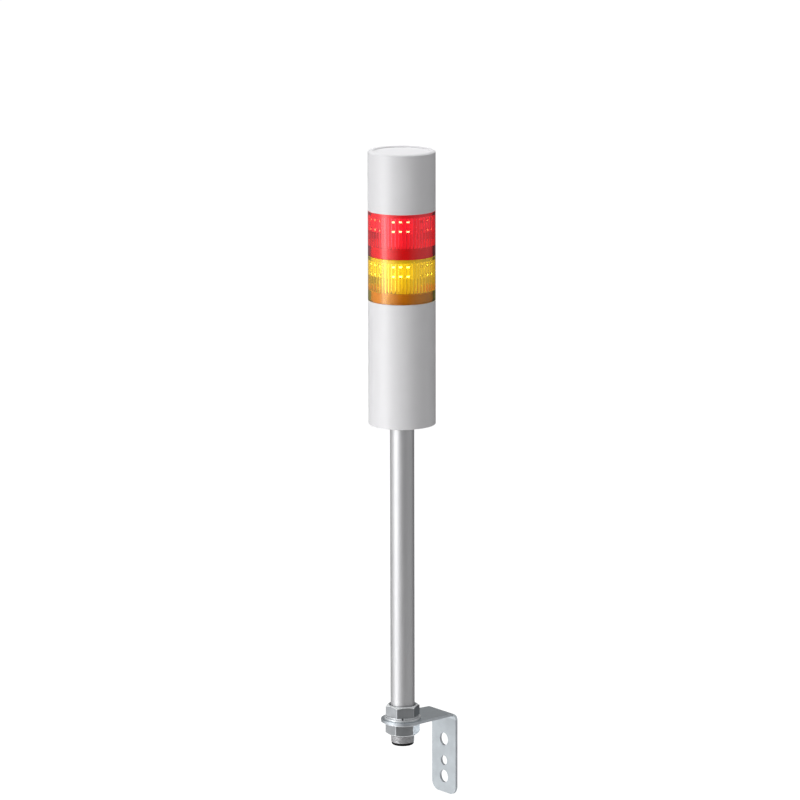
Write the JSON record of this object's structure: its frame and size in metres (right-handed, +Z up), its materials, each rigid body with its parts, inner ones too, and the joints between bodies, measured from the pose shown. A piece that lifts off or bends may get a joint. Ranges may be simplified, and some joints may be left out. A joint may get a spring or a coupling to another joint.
{
  "type": "stack light",
  "caption": "Stack light on a pole: red unit over amber unit under a tall sounder head, with twist-lock units, clamped in a folded wall bracket.",
  "frame": {"origin": "on the wall face of the bracket, midway between its two large screw holes", "axes": "+Z up along the pole, +Y into the wall, +X across the bracket plate"},
  "size_m": [0.06, 0.08, 0.5951],
  "materials": {
    "white_plastic": "fine satin",
    "red_lens": "clear, tinted",
    "amber_lens": "clear, tinted",
    "dark_plastic": "satin",
    "carrier_white": "matte",
    "circuit_board": "solder mask",
    "led_package": "clear dome on a pale package",
    "contact_brass": "plated",
    "gasket_rubber": "matte",
    "pole_aluminium": "fine satin, drawn",
    "zinc_steel": "bright zinc plate",
    "holder_cast": "die cast",
    "screw_steel": "plated",
    "bush_rubber": "satin",
    "terminal_grey": "satin",
    "sounder_brass": "plain",
    "coil_black": "satin"
  },
  "bodies": {
    "body_and_pole": {"pole_bush": "bush_rubber", "pole": "pole_aluminium", "lower_nut": "zinc_steel", "lower_washer": "zinc_steel", "upper_washer": "zinc_steel", "lock_washer": "zinc_steel", "upper_nut": "zinc_steel", "bracket": "zinc_steel", "lower_body": "white_plastic", "pole_holder": "holder_cast", "holder_screws": "screw_steel", "grub_screws": "screw_steel", "terminal_board": "circuit_board", "terminal_block": "terminal_grey", "board_screws": "screw_steel", "body_socket": "dark_plastic", "body_contact_board": "circuit_board"},
    "amber_unit": {"amber_base": "dark_plastic", "amber_gasket": "gasket_rubber", "amber_pins": "contact_brass", "amber_lens": "amber_lens", "amber_led_carrier": "carrier_white", "amber_led_strips": "circuit_board", "amber_leds": "led_package", "amber_socket": "carrier_white", "amber_contact_board": "circuit_board"},
    "red_unit": {"red_base": "dark_plastic", "red_gasket": "gasket_rubber", "red_pins": "contact_brass", "red_lens": "red_lens", "red_led_carrier": "carrier_white", "red_led_strips": "circuit_board", "red_leds": "led_package", "red_socket": "carrier_white", "red_contact_board": "circuit_board"},
    "head": {"head_base": "dark_plastic", "head_gasket": "gasket_rubber", "head_pins": "contact_brass", "head_cover": "white_plastic", "sounder_disc": "sounder_brass", "sounder_ring": "dark_plastic", "sounder_board": "circuit_board", "sounder_coil": "coil_black"}
  },
  "joints": [
    {"name": "amber_unit_twist", "type": "hinge", "parent": "body_and_pole", "child": "amber_unit", "pos_m": [0, -0.05, 0.429], "axis": [0, 0, 1], "range_deg": [0, 15]},
    {"name": "red_unit_twist", "type": "hinge", "parent": "amber_unit", "child": "red_unit", "pos_m": [0, -0.05, 0.469], "axis": [0, 0, 1], "range_deg": [0, 15]},
    {"name": "head_twist", "type": "hinge", "parent": "red_unit", "child": "head", "pos_m": [0, -0.05, 0.509], "axis": [0, 0, 1], "range_deg": [0, 15]}
  ]
}
